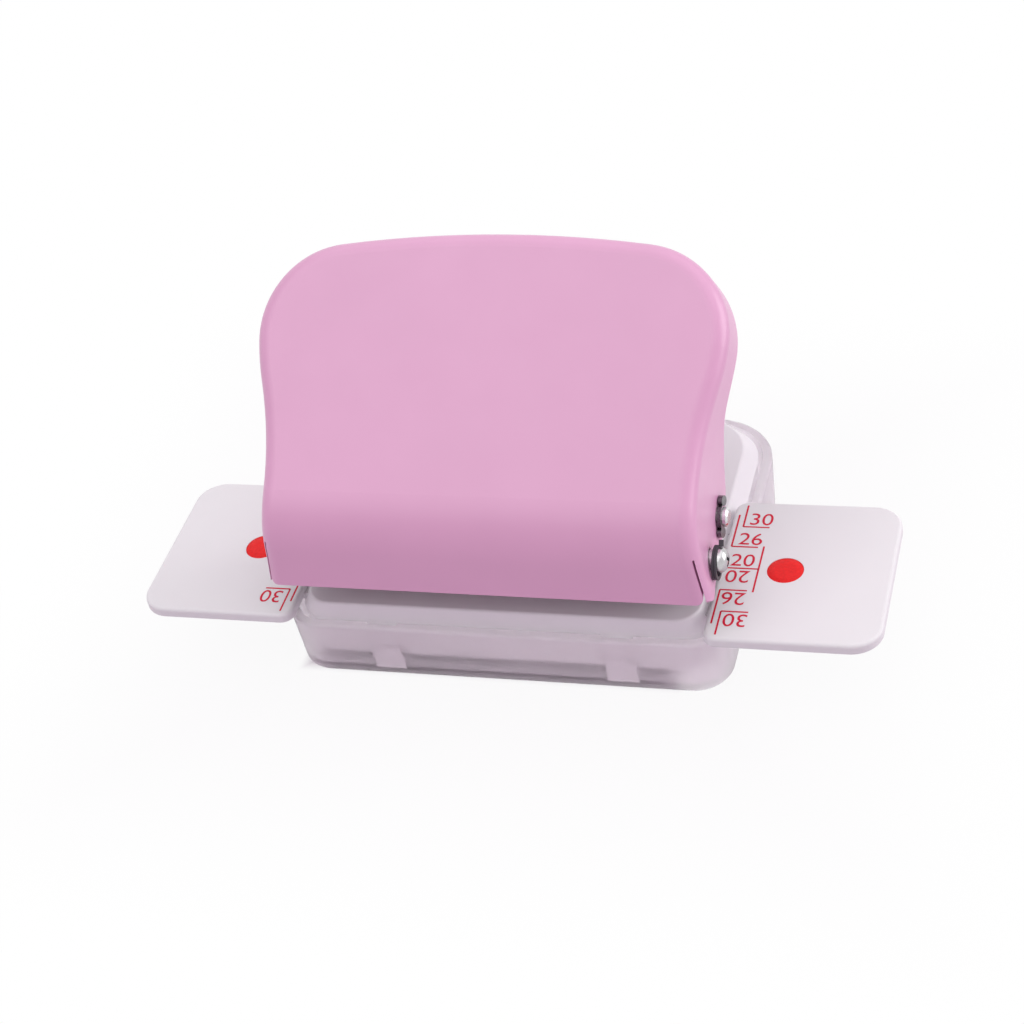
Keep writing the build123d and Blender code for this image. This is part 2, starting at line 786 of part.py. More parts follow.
def spring_path(place):
    """Draws the centre line of one spring."""
    upright = Vector(0, 0, 1)
    last_angle = lead_angle + 180 * half_turns
    corners = [coil_point(place, lead_angle + 180 * i) for i in range(half_turns + 1)]
    top_turn = radians(last_angle + lead_angle)
    foot = Vector(place + spring_radius, 0, spring_start)
    head = Vector(place + spring_radius * cos(top_turn), spring_radius * sin(top_turn), spring_end)
    foot_end = foot + upright * spring_wire
    head_end = head - upright * spring_wire
    with BuildLine() as path:
        Line(foot, foot_end)
        two_arcs(foot_end, upright, *corners[0])
        for low, high in zip(corners, corners[1:]):
            two_arcs(*low, *high)
        two_arcs(*corners[-1], head_end, upright)
        Line(head_end, head)
    return path.wires()[0]


def least_gap(wire):
    """Measures the least gap between turns that lie at least a third of a turn apart."""
    count = 900
    points = [wire.position_at(i / count) for i in range(count + 1)]
    apart = int(count / (half_turns / 2 + 0.3) * 0.35)
    distances = [
        (points[i] - points[j]).length for i in range(count) for j in range(i + apart, count + 1)
    ]
    return min(distances) - spring_wire


for number, place in enumerate(hole_places, start=1):
    wire = spring_path(place)
    with BuildPart() as return_spring:
        with BuildSketch(Plane(origin=wire @ 0, z_dir=wire % 0)):
            RegularPolygon(spring_wire / 2, wire_sides)
        sweep(path=wire)
    return_spring.part.label = f"return_spring_{number}"
    export_step(return_spring.part, f"parts/return_spring_{number}.step")
print("least gap between the curls of a spring", round(least_gap(wire), 2))

# Paper guides
# Two alike plates that pull out from the sides of the base, each on a flat tongue.
guide_inner = 32.6
guide_reach = 58.7
wing_half = 15.6
guide_thickness = 1.6
guide_outer_corner = 4.6
guide_inner_corner = 2.0
guide_round = 0.55
tongue_overlap = 2.4
dot_x = 42.6
dot_radius = 2.8
dot_depth = 0.2


def paper_guide(side):
    """Makes one paper guide, on the left for side -1 and on the right for side 1."""
    with BuildPart() as guide:
        with BuildSketch(Plane.XY.offset(paper_level - guide_thickness)):
            with Locations((side * (guide_inner + guide_reach) / 2, 0)):
                Rectangle(guide_reach - guide_inner, 2 * wing_half)
        extrude(amount=guide_thickness)
        uprights = guide.edges().filter_by(Axis.Z)
        outer = uprights.filter_by_position(Axis.X, *sorted((side * dot_x, side * far)))
        fillet(outer, guide_outer_corner)
        uprights = guide.edges().filter_by(Axis.Z)
        inner = uprights.filter_by_position(Axis.X, *sorted((side * tongue_tip, side * dot_x)))
        fillet(inner, guide_inner_corner)
        fillet(guide.edges().group_by(Axis.Z)[-1], guide_round)
        with BuildSketch(Plane.XY.offset(paper_level)):
            with Locations((side * dot_x, 0)):
                Circle(dot_radius)
        extrude(amount=-dot_depth, mode=Mode.SUBTRACT)
        with BuildSketch(Plane.XY.offset(tongue_top - tongue_thickness)):
            with Locations((side * (tongue_tip + guide_inner + tongue_overlap) / 2, 0)):
                Rectangle(guide_inner + tongue_overlap - tongue_tip, 2 * tongue_half)
        extrude(amount=tongue_thickness)
    return guide.part


for name, side in (("left_guide", -1), ("right_guide", 1)):
    plate = paper_guide(side)
    plate.label = name
    export_step(plate, f"parts/{name}.step")
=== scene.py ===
import math

import bmesh
import bpy
from mathutils import Matrix, Vector


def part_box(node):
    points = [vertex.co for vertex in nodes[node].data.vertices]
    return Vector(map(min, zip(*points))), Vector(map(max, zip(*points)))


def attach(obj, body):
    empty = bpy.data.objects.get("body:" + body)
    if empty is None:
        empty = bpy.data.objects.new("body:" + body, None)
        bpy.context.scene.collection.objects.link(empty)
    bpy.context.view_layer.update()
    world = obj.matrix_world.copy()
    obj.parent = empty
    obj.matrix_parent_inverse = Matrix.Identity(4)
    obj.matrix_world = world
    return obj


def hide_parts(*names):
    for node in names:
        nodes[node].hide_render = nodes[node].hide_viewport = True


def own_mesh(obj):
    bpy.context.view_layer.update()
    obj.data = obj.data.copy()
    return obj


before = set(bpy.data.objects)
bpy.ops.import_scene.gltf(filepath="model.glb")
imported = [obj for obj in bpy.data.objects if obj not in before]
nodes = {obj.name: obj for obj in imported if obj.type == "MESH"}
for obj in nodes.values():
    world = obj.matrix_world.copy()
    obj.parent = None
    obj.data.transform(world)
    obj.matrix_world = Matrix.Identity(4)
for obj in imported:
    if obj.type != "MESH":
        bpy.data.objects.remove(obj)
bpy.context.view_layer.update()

# Lengths are in metres and angles in degrees
MM = 0.001
IMAGE_SIDE = 1024


# Colours, as they look in even light
PINK = (0.705, 0.358, 0.550)
COVER_WHITE = (0.800, 0.770, 0.795)
GUIDE_WHITE = (0.770, 0.757, 0.765)
FROST = (0.980, 0.905, 0.965)
NYLON = (0.780, 0.760, 0.740)
RED_DOT = (0.800, 0.014, 0.014)
RED_PRINT = (0.640, 0.010, 0.042)
ZINC = (0.740, 0.740, 0.750)
TOOL_STEEL = (0.600, 0.600, 0.620)
BLACK_OXIDE = (0.022, 0.020, 0.024)
OILED_STEEL = (0.130, 0.120, 0.132)
NICKEL = (0.560, 0.545, 0.560)
# Darker violet floor colour under the tray: painted shade seen through the frosted plastic
FLOOR_PAINTED_SHADE = (0.620, 0.510, 0.610)
SHADE_LIGHT = (0.520, 0.478, 0.525)


# Material building blocks
class Surface:
    """One procedural material, with the node tree at hand."""

    def __init__(self, name, colour, roughness, metallic=0.0):
        self.material = bpy.data.materials.new(name)
        self.material.use_nodes = True
        self.tree = self.material.node_tree
        self.shader = self.tree.nodes["Principled BSDF"]
        self.shader.inputs["Base Color"].default_value = (*colour, 1.0)
        self.shader.inputs["Roughness"].default_value = roughness
        self.shader.inputs["Metallic"].default_value = metallic
        self.place = self.add("ShaderNodeTexCoord").outputs["Object"]

    def add(self, kind):
        return self.tree.nodes.new(kind)

    def link(self, source, target):
        self.tree.links.new(source, target)

    def set(self, **values):
        for name, value in values.items():
            self.shader.inputs[name.replace("_", " ")].default_value = value

    def noise(self, size, detail=3.0, stretch=(1.0, 1.0, 1.0)):
        """Noise with features of about this size in metres, stretched along the axes."""
        mapping = self.add("ShaderNodeMapping")
        mapping.inputs["Scale"].default_value = [1.0 / s for s in stretch]
        texture = self.add("ShaderNodeTexNoise")
        texture.inputs["Scale"].default_value = 1.0 / size
        texture.inputs["Detail"].default_value = detail
        self.link(self.place, mapping.inputs["Vector"])
        self.link(mapping.outputs["Vector"], texture.inputs["Vector"])
        return texture.outputs["Fac"]

    def spread(self, value, low, high):
        """Turns a noise value into one that runs from low to high."""
        span = self.add("ShaderNodeMapRange")
        span.inputs["From Min"].default_value = 0.3
        span.inputs["From Max"].default_value = 0.7
        span.inputs["To Min"].default_value = low
        span.inputs["To Max"].default_value = high
        self.link(value, span.inputs["Value"])
        return span.outputs["Result"]

    def vary_colour(self, value, first, second):
        ramp = self.add("ShaderNodeMix")
        ramp.data_type = "RGBA"
        ramp.inputs["A"].default_value = (*first, 1.0)
        ramp.inputs["B"].default_value = (*second, 1.0)
        self.link(self.spread(value, 0.0, 1.0), ramp.inputs["Factor"])
        self.link(ramp.outputs["Result"], self.shader.inputs["Base Color"])

    def vary_roughness(self, value, low, high):
        self.link(self.spread(value, low, high), self.shader.inputs["Roughness"])

    def bumps(self, *layers):
        """Adds bump layers, each a noise value with its depth in metres."""
        normal = None
        for value, depth in layers:
            bump = self.add("ShaderNodeBump")
            bump.inputs["Distance"].default_value = depth
            bump.inputs["Strength"].default_value = 1.0
            self.link(value, bump.inputs["Height"])
            if normal:
                self.link(normal, bump.inputs["Normal"])
            normal = bump.outputs["Normal"]
        self.link(normal, self.shader.inputs["Normal"])


def shade(colour, factor):
    return tuple(min(1.0, channel * factor) for channel in colour)


# Materials
def painted_steel():
    """Smooth satin paint with a faint orange peel."""
    paint = Surface("pink_paint", PINK, 0.34)
    paint.vary_colour(paint.noise(14 * MM), shade(PINK, 0.985), shade(PINK, 1.015))
    paint.vary_roughness(paint.noise(5 * MM), 0.31, 0.37)
    paint.bumps((paint.noise(1.4 * MM, 2.0), 0.004 * MM), (paint.noise(0.12 * MM, 1.0), 0.0008 * MM))
    paint.set(Specular_IOR_Level=0.7)
    return paint.material


def moulded_plastic(name, colour, grain_depth, gloss):
    """Opaque moulded plastic with a fine spark-eroded grain."""
    plastic = Surface(name, colour, gloss)
    plastic.vary_colour(plastic.noise(18 * MM), shade(colour, 0.985), shade(colour, 1.01))
    plastic.vary_roughness(plastic.noise(3 * MM), gloss - 0.05, gloss + 0.07)
    plastic.bumps((plastic.noise(0.16 * MM, 2.0), grain_depth), (plastic.noise(9 * MM, 1.0), 0.01 * MM))
    plastic.set(Subsurface_Weight=0.12, Subsurface_Radius=(0.9, 0.8, 0.8), Subsurface_Scale=0.8 * MM)
    return plastic.material


def frosted_plastic():
    """Milky see-through plastic: light passes, shapes behind it blur."""
    frost = Surface("frosted_plastic", FROST, 0.5)
    frost.vary_colour(frost.noise(20 * MM), shade(FROST, 0.98), shade(FROST, 1.02))
    frost.vary_roughness(frost.noise(2.5 * MM), 0.44, 0.54)
    frost.bumps((frost.noise(0.14 * MM, 2.0), 0.003 * MM))
    frost.set(Transmission_Weight=0.9, IOR=1.45)
    return frost.material


def plated_steel():
    """Rolled sheet with a zinc coat: long fine lines and soft grey clouds."""
    sheet = Surface("plated_steel", ZINC, 0.32, 1.0)
    lines = sheet.noise(0.25 * MM, 3.0, (40.0, 1.0, 1.0))
    sheet.vary_colour(sheet.noise(6 * MM), shade(ZINC, 0.9), shade(ZINC, 1.05))
    sheet.vary_roughness(lines, 0.24, 0.42)
    sheet.bumps((lines, 0.002 * MM))
    return sheet.material


def turned_steel(name, colour, low, high):
    """Turned or ground metal, with fine rings round the upright axis."""
    steel = Surface(name, colour, low, 1.0)
    rings = steel.noise(0.12 * MM, 2.0, (30.0, 30.0, 1.0))
    steel.vary_colour(steel.noise(2.5 * MM), shade(colour, 0.88), shade(colour, 1.08))
    steel.vary_roughness(rings, low, high)
    steel.bumps((rings, 0.0015 * MM))
    return steel.material


def black_oxide():
    """Blackened spring steel with a thin film of oil."""
    black = Surface("black_steel", BLACK_OXIDE, 0.35, 0.4)
    black.vary_colour(black.noise(0.8 * MM), shade(BLACK_OXIDE, 0.7), shade(BLACK_OXIDE, 1.9))
    black.vary_roughness(black.noise(0.4 * MM), 0.25, 0.5)
    black.bumps((black.noise(0.1 * MM, 2.0), 0.002 * MM))
    return black.material


def oiled_steel():
    """Dark hardened steel, bare under the oil."""
    dark = Surface("oiled_steel", OILED_STEEL, 0.3, 1.0)
    dark.vary_colour(dark.noise(0.6 * MM), shade(OILED_STEEL, 0.8), shade(OILED_STEEL, 1.2))
    dark.vary_roughness(dark.noise(0.4 * MM), 0.24, 0.4)
    dark.bumps((dark.noise(0.1 * MM, 2.0), 0.002 * MM))
    return dark.material


def printed_ink(name, colour):
    """Pad-printed ink, a little uneven."""
    ink = Surface(name, colour, 0.45)
    ink.vary_colour(ink.noise(0.35 * MM), shade(colour, 0.9), shade(colour, 1.08))
    ink.vary_roughness(ink.noise(0.5 * MM), 0.38, 0.55)
    ink.bumps((ink.noise(0.15 * MM), 0.002 * MM))
    ink.set(Specular_IOR_Level=0.2)
    return ink.material


def dress(material, *names):
    """Gives CAD nodes a finished material."""
    for name in names:
        mesh = nodes[name].data
        mesh.materials.clear()
        mesh.materials.append(material)


def numbered(stem):
    return [name for name in sorted(nodes) if name.startswith(stem)]


plain_black = bpy.data.materials["black_steel"]
plain_spring = bpy.data.materials["spring_steel"]


# Materials of the CAD nodes that show
dress(painted_steel(), "handle")
dress(frosted_plastic(), "chip_tray")
dress(moulded_plastic("cover_plastic", COVER_WHITE, 0.002 * MM, 0.42), "base_cover")
dress(moulded_plastic("guide_plastic", GUIDE_WHITE, 0.004 * MM, 0.5), "left_guide", "right_guide")
dress(moulded_plastic("nylon", NYLON, 0.002 * MM, 0.4), "thrust_washers")
dress(plated_steel(), "die_plate", "guide_plate", "upper_guide", "spring_cups")
dress(turned_steel("screw_steel", ZINC, 0.16, 0.3), "frame_screws", "pivot_nuts", "press_axle")
dress(turned_steel("tool_steel", TOOL_STEEL, 0.2, 0.36), *numbered("punch_"))
dress(black_oxide(), "retaining_rings")


# Building pieces
RING_STEPS = 48
# Edges sharper than this stay sharp
KEPT_EDGE = 30


def middle_of(name):
    low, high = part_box(name)
    return (low + high) / 2


def add_piece(name, mesh, material, body):
    """Makes a piece of a mesh, and lets it ride on a body."""
    data = bpy.data.meshes.new(name)
    mesh.to_mesh(data)
    mesh.free()
    data.materials.append(material)
    piece = bpy.data.objects.new(name, data)
    bpy.context.scene.collection.objects.link(piece)
    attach(piece, body)
    return piece


def smooth_below(piece, degrees):
    """Shades a piece smooth, and keeps edges sharper than this angle."""
    piece.data.shade_smooth()
    piece.data.set_sharp_from_angle(angle=math.radians(degrees))


def join_loops(mesh, loops):
    """Adds the faces between each ring of points and the next."""
    for lower, upper in zip(loops, loops[1:]):
        for i, point in enumerate(lower):
            j = (i + 1) % len(lower)
            mesh.faces.new((point, lower[j], upper[j], upper[i]))


def tidy_normals(mesh):
    bmesh.ops.recalc_face_normals(mesh, faces=mesh.faces)
    return mesh


def arc(half_length, half_width, start, end, steps, centre=(0.0, 0.0)):
    """Gives the points of an arc, round or oval."""
    points = []
    for i in range(steps + 1):
        angle = math.radians(start + (end - start) * i / steps)
        points.append((centre[0] + half_length * math.cos(angle), centre[1] + half_width * math.sin(angle)))
    return points


def plate_along_x(mesh, outline, centre, lean, start, end):
    """Adds a flat plate between two places along X, leaned about its centre."""
    turn = math.radians(lean)
    rings = []
    for x in (start, end):
        ring = []
        for u, v in outline:
            y = centre.y + u * math.cos(turn) - v * math.sin(turn)
            z = centre.z + u * math.sin(turn) + v * math.cos(turn)
            ring.append(mesh.verts.new((x, y, z)))
        rings.append(ring)
    join_loops(mesh, rings)
    mesh.faces.new(list(reversed(rings[0])))
    mesh.faces.new(rings[1])


def ring_along_x(mesh, centre, outer, bore, start, end):
    """Adds a flat washer between two places along X."""
    corners = ((start, bore), (start, outer), (end, outer), (end, bore))
    loops = []
    for x, radius in corners:
        loop = []
        for i in range(RING_STEPS):
            angle = 2 * math.pi * i / RING_STEPS
            place = (x, centre.y + radius * math.cos(angle), centre.z + radius * math.sin(angle))
            loop.append(mesh.verts.new(place))
        loops.append(loop)
    join_loops(mesh, loops + loops[:1])


def revolved(profile, side, centre):
    """Makes a closed turned body about a line along X, from its radius at places along X."""
    mesh = bmesh.new()
    rings = []
    for x, radius in profile:
        place = (side * x, centre.y, centre.z)
        on_axis = radius < 0.001 * MM
        if on_axis:
            rings.append([mesh.verts.new(place)])
            continue
        ring = []
        for i in range(RING_STEPS):
            angle = 2 * math.pi * i / RING_STEPS
            offset = Vector((0.0, radius * math.cos(angle), radius * math.sin(angle)))
            ring.append(mesh.verts.new(Vector(place) + offset))
        rings.append(ring)
    for first, second in zip(rings, rings[1:]):
        for i in range(RING_STEPS):
            j = (i + 1) % RING_STEPS
            corners = [first[i % len(first)], first[j % len(first)]]
            corners += [second[j % len(second)], second[i % len(second)]]
            mesh.faces.new(list(dict.fromkeys(corners)))
    return tidy_normals(mesh)


def holder_of(mesh):
    """Puts a mesh on an object of its own, for a modifier."""
    data = bpy.data.meshes.new("holder")
    mesh.to_mesh(data)
    mesh.free()
    holder = bpy.data.objects.new("holder", data)
    bpy.context.scene.collection.objects.link(holder)
    return holder


def combined(body, tool, operation):
    """Joins one closed mesh with another, or cuts it by the other."""
    body_holder = holder_of(body)
    tool_holder = holder_of(tool)
    step = body_holder.modifiers.new("step", "BOOLEAN")
    step.operation = operation
    step.solver = "EXACT"
    step.object = tool_holder
    graph = bpy.context.evaluated_depsgraph_get()
    result = bpy.data.meshes.new_from_object(body_holder.evaluated_get(graph))
    mesh = bmesh.new()
    mesh.from_mesh(result)
    for holder in (body_holder, tool_holder):
        data = holder.data
        bpy.data.objects.remove(holder)
        bpy.data.meshes.remove(data)
    bpy.data.meshes.remove(result)
    return mesh


def add_mesh(whole, part):
    """Moves the faces of a part into a whole mesh."""
    data = bpy.data.meshes.new("part")
    part.to_mesh(data)
    part.free()
    whole.from_mesh(data)
    bpy.data.meshes.remove(data)


# Printed marks on the paper guides
deck_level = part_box("right_guide")[1].z
PRINT_LIFT = 0.015 * MM
PRINT_SINK = 0.02 * MM
LINE = 0.28 * MM
FOOT_LENGTH = 4.1 * MM
# The number of holes, then X, and Y at the corner and at the far end, on the right guide
LONG_MARKS = (
    ("30", 34.5 * MM, 9.56 * MM, 14.6 * MM),
    ("26", 33.5 * MM, 4.9 * MM, 12.3 * MM),
)
SHORT_NUMBER = "20"
SHORT_MARK_X = 38.5 * MM
SHORT_MARK_HALF = 5.16 * MM
MIDDLE_LINE_START = 33.7 * MM
SHORT_NUMBER_START = 34.0 * MM
SHORT_NUMBER_END = 37.4 * MM
DIGIT_HEIGHT = 2.7 * MM
DIGIT_GAP = 0.5 * MM
NUMBER_INSET = 0.9 * MM


def slab(mesh, low, high):
    """Adds a flat bar of ink between two corners in plan."""
    size = Vector((high[0] - low[0], high[1] - low[1], PRINT_LIFT + PRINT_SINK))
    level = deck_level + (PRINT_LIFT - PRINT_SINK) / 2
    centre = Vector(((low[0] + high[0]) / 2, (low[1] + high[1]) / 2, level))
    matrix = Matrix.Translation(centre) @ Matrix.Diagonal((*size, 1.0))
    bmesh.ops.create_cube(mesh, size=1.0, matrix=matrix)


def digits(mesh, text, start, turned):
    """Adds a number whose first digit starts at a point, upright or turned half round."""
    curve = bpy.data.curves.new("digits", "FONT")
    curve.body = text
    curve.size = 1.0
    holder = bpy.data.objects.new("digits", curve)
    bpy.context.scene.collection.objects.link(holder)
    bpy.context.view_layer.update()
    flat = bpy.data.meshes.new_from_object(holder)
    bpy.data.objects.remove(holder)
    lowest = min(v.co.y for v in flat.vertices)
    highest = max(v.co.y for v in flat.vertices)
    leftmost = min(v.co.x for v in flat.vertices)
    scale = DIGIT_HEIGHT / (highest - lowest)
    half_turn = Matrix.Rotation(math.pi if turned else 0.0, 4, "Z")
    place = Matrix.Translation((*start, deck_level + PRINT_LIFT))
    shift = Matrix.Translation((-leftmost, -lowest, 0.0))
    flat.transform(place @ half_turn @ Matrix.Scale(scale, 4) @ shift)
    mesh.from_mesh(flat)
    bpy.data.meshes.remove(flat)


def guide_marks():
    """Draws the marks of the right guide in plan: margin lines with the number of holes."""
    mesh = bmesh.new()
    half = LINE / 2
    for side in (1, -1):
        turned = side < 0
        for text, x, corner_y, end_y in LONG_MARKS:
            y = side * corner_y
            low, high = sorted((y, side * end_y))
            slab(mesh, (x - half, low), (x + half, high))
            slab(mesh, (x, y - half), (x + FOOT_LENGTH, y + half))
            start_x = x + (FOOT_LENGTH if turned else NUMBER_INSET)
            digits(mesh, text, (start_x, y + side * DIGIT_GAP), turned)
        start_x = SHORT_NUMBER_END if turned else SHORT_NUMBER_START
        digits(mesh, SHORT_NUMBER, (start_x, side * DIGIT_GAP), turned)
    slab(mesh, (SHORT_MARK_X - half, -SHORT_MARK_HALF), (SHORT_MARK_X + half, SHORT_MARK_HALF))
    slab(mesh, (MIDDLE_LINE_START, -half), (SHORT_MARK_X, half))
    return mesh


# Red dots in the round recesses of the guides
DOT_X = 42.6 * MM
DOT_RADIUS = 2.78 * MM
DOT_TOP = deck_level - 0.02 * MM
DOT_FLOOR = deck_level - 0.22 * MM
DOT_ROUND = 0.06 * MM
DOT_CROWN = 0.01 * MM
DOT_STEPS = 64


def red_dot(x):
    """Makes the domed disc of ink in a guide's round recess."""
    mesh = bmesh.new()
    rings = [
        (DOT_RADIUS, DOT_FLOOR),
        (DOT_RADIUS, DOT_TOP - DOT_ROUND),
        (DOT_RADIUS - DOT_ROUND, DOT_TOP),
        (DOT_RADIUS / 2, DOT_TOP + DOT_CROWN),
    ]
    angles = [2 * math.pi * i / DOT_STEPS for i in range(DOT_STEPS)]
    loops = []
    for radius, height in rings:
        places = [(x + radius * math.cos(a), radius * math.sin(a), height) for a in angles]
        loops.append([mesh.verts.new(place) for place in places])
    join_loops(mesh, loops)
    mesh.faces.new(loops[-1])
    mesh.faces.new(list(reversed(loops[0])))
    return mesh


print_ink = printed_ink("red_print", RED_PRINT)
dot_ink = printed_ink("red_dot", RED_DOT)
for name, body, side in (("left", "left_paper_guide", -1), ("right", "right_paper_guide", 1)):
    marks = guide_marks()
    if side < 0:
        bmesh.ops.transform(marks, matrix=Matrix.Rotation(math.pi, 4, "Z"), verts=marks.verts)
    add_piece(name + "_margin_marks", marks, print_ink, body)
    dot = add_piece(name + "_pull_dot", red_dot(side * DOT_X), dot_ink, body)
    dot.data.shade_smooth()


# Open clips on the axle's ends
axle = middle_of("press_axle")
# How far the clips, and the lugs on the washers, are turned up from Y
LEAN = 51.5
CLIP_START = 33.6 * MM
CLIP_THICKNESS = 0.6 * MM
SPINE_OUTER = 2.0 * MM
SPINE_INNER = 1.6 * MM
SPINE_TURN = 24
SPINE_STEPS = 30
SPINE_SIDE_STEPS = 10
LOBE_PLACE = 2.35 * MM
LOBE_HALF_HEIGHT = 0.82 * MM
LOBE_HALF_WIDTH = 1.75 * MM
LOBE_SHIFT = 0.35 * MM
LOBE_POINTS = 24
GROOVE_RADIUS = 1.2 * MM
TOOTH_HALF_ANGLE = 16
TOOTH_STEPS = 6


def spine_outline():
    """Outlines a band half round the axle, with a tooth in the groove."""
    tooth_start = 90 + TOOTH_HALF_ANGLE
    tooth_end = 90 - TOOTH_HALF_ANGLE
    points = arc(SPINE_OUTER, SPINE_OUTER, SPINE_TURN, 180 - SPINE_TURN, SPINE_STEPS)
    points += arc(SPINE_INNER, SPINE_INNER, 180 - SPINE_TURN, tooth_start, SPINE_SIDE_STEPS)
    points += arc(GROOVE_RADIUS, GROOVE_RADIUS, tooth_start, tooth_end, TOOTH_STEPS)
    points += arc(SPINE_INNER, SPINE_INNER, tooth_end, SPINE_TURN, SPINE_SIDE_STEPS)
    return points


def lobe_outline(place):
    last = 360 - 360 / LOBE_POINTS
    return arc(LOBE_HALF_HEIGHT, LOBE_HALF_WIDTH, 0, last, LOBE_POINTS - 1, (place, -LOBE_SHIFT))


def clip_part(outline, side):
    mesh = bmesh.new()
    start = side * CLIP_START
    plate_along_x(mesh, outline, axle, LEAN, start, start + side * CLIP_THICKNESS)
    return tidy_normals(mesh)


def open_clips():
    """Makes a clip for each end of the axle: a spine with a lobe at each end."""
    both = bmesh.new()
    for side in (-1, 1):
        clip = clip_part(spine_outline(), side)
        for place in (LOBE_PLACE, -LOBE_PLACE):
            clip = combined(clip, clip_part(lobe_outline(place), side), "UNION")
        add_mesh(both, clip)
    return both


clips = add_piece("open_clips", open_clips(), oiled_steel(), "press_set")
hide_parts("axle_clips")
smooth_below(clips, KEPT_EDGE)


# Pan-head pivot screws with a cross recess
pivot = middle_of("pivot_screws")
HEAD_START = 35.1 * MM
HEAD_TOP = 36.6 * MM
HEAD_RADIUS = 1.85 * MM
HEAD_EDGE = 0.35 * MM
HEAD_CHAMFER = 0.06 * MM
DOME_START = HEAD_START + HEAD_EDGE
DOME_HEIGHT = HEAD_TOP - HEAD_START - HEAD_EDGE
DOME_STEPS = 10
SHOULDER_START = 31.8 * MM
SHOULDER_RADIUS = 1.5 * MM
SHANK_START = 28.0 * MM
SHANK_RADIUS = 1.25 * MM
SHANK_CHAMFER = 0.2 * MM
RECESS_HALF_LENGTH = 1.15 * MM
RECESS_HALF_WIDTH = 0.28 * MM
RECESS_DEPTH = 0.9 * MM
RECESS_LEAN = 28
RECESS_FLOOR_SCALE = 0.35
RECESS_MOUTH_SCALE = 1.15
RECESS_OVERSHOOT = 0.3 * MM
RECESS_MARGIN = 0.06 * MM


def screw_profile():
    """Gives the screw's radius at places along X, from the shank's end to the top of the dome."""
    profile = [(SHANK_START, 0.0), (SHANK_START, SHANK_RADIUS - SHANK_CHAMFER)]
    profile += [(SHANK_START + SHANK_CHAMFER, SHANK_RADIUS), (SHOULDER_START, SHANK_RADIUS)]
    profile += [(SHOULDER_START, SHOULDER_RADIUS), (HEAD_START, SHOULDER_RADIUS)]
    profile += [(HEAD_START, HEAD_RADIUS - HEAD_CHAMFER), (HEAD_START + HEAD_CHAMFER, HEAD_RADIUS)]
    for i in range(DOME_STEPS + 1):
        angle = math.radians(90 * i / DOME_STEPS)
        profile.append((DOME_START + DOME_HEIGHT * math.sin(angle), HEAD_RADIUS * math.cos(angle)))
    return profile


def cross_recess(side, centre):
    """Makes the tapered cross that is cut into a screw head."""
    length, width = RECESS_HALF_LENGTH, RECESS_HALF_WIDTH
    arm = [(length, -width), (length, width), (width, width)]
    outline = []
    for quarter in range(4):
        turn = Matrix.Rotation(quarter * math.pi / 2, 2)
        outline += [turn @ Vector(point) for point in arm]
    lean = Matrix.Rotation(math.radians(RECESS_LEAN), 2)
    recess_floor = (HEAD_TOP - RECESS_DEPTH, RECESS_FLOOR_SCALE)
    recess_mouth = (HEAD_TOP + RECESS_OVERSHOOT, RECESS_MOUTH_SCALE)
    mesh = bmesh.new()
    rings = []
    for x, scale in (recess_floor, recess_mouth):
        ring = []
        for point in outline:
            u, v = lean @ (point * scale)
            ring.append(mesh.verts.new((side * x, centre.y + u, centre.z + v)))
        rings.append(ring)
    join_loops(mesh, rings)
    mesh.faces.new(rings[0])
    mesh.faces.new(rings[1])
    return tidy_normals(mesh)


def in_recess(face, centre):
    """Says whether a face lies in the cross, below the dome around it."""
    middle = face.calc_center_median()
    across = math.hypot(middle.y - centre.y, middle.z - centre.z)
    if across > RECESS_HALF_LENGTH or abs(middle.x) < HEAD_START:
        return False
    level = DOME_START + DOME_HEIGHT * math.sqrt(1 - (across / HEAD_RADIUS) ** 2)
    return abs(middle.x) < level - RECESS_MARGIN


def pan_screws():
    """Makes the two pivot screws. The second material, plain black, paints shade into the cross recess."""
    both = bmesh.new()
    for side in (-1, 1):
        screw = combined(revolved(screw_profile(), side, pivot), cross_recess(side, pivot), "DIFFERENCE")
        for face in screw.faces:
            # Faces in the cross get the second material, plain black: painted shade in the recess
            face.material_index = 1 if in_recess(face, pivot) else 0
        add_mesh(both, screw)
    return both


nickel = turned_steel("nickel_steel", NICKEL, 0.16, 0.28)
screws = add_piece("pan_head_pivot_screws", pan_screws(), nickel, "base")
# Plain black steel in the cross recess is painted shade
screws.data.materials.append(plain_black)
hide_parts("pivot_screws")
smooth_below(screws, KEPT_EDGE)


# Loose washers under the screw heads
WASHER_FACES = ((34.4 * MM, 34.72 * MM), (34.78 * MM, 35.1 * MM))
WASHER_RADIUS = 2.6 * MM
WASHER_BORE = 2.05 * MM
LUG_START = 1.95 * MM
LUG_END = 2.95 * MM
LUG_HALF_WIDTH = 0.27 * MM
LUG_FACES = (35.05 * MM, 35.7 * MM)


def loose_washers():
    """Hangs two washers a side on the screw's shoulder, with a bent lug on the outer one."""
    mesh = bmesh.new()
    hung = pivot - Vector((0.0, 0.0, WASHER_BORE - SHOULDER_RADIUS))
    half = LUG_HALF_WIDTH
    lug = [(LUG_START, -half), (LUG_END, -half), (LUG_END, half), (LUG_START, half)]
    for side in (-1, 1):
        for start, end in WASHER_FACES:
            ring_along_x(mesh, hung, WASHER_RADIUS, WASHER_BORE, side * start, side * end)
        plate_along_x(mesh, lug, pivot, LEAN, side * LUG_FACES[0], side * LUG_FACES[1])
    return tidy_normals(mesh)


washers = add_piece("loose_pivot_washers", loose_washers(), plain_black, "base")
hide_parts("pivot_washers")
smooth_below(washers, KEPT_EDGE)


# Return springs in round wire
SPRING_RADIUS = 3.65 * MM
WIRE = 0.6 * MM
LEAD_ANGLE = 50
LEAD_RISE = 1.1 * MM
LEAD_STEPS = 8
HALF_TURNS = 7
STEPS_IN_HALF_TURN = 14
KEPT_WIRE_EDGE = 40


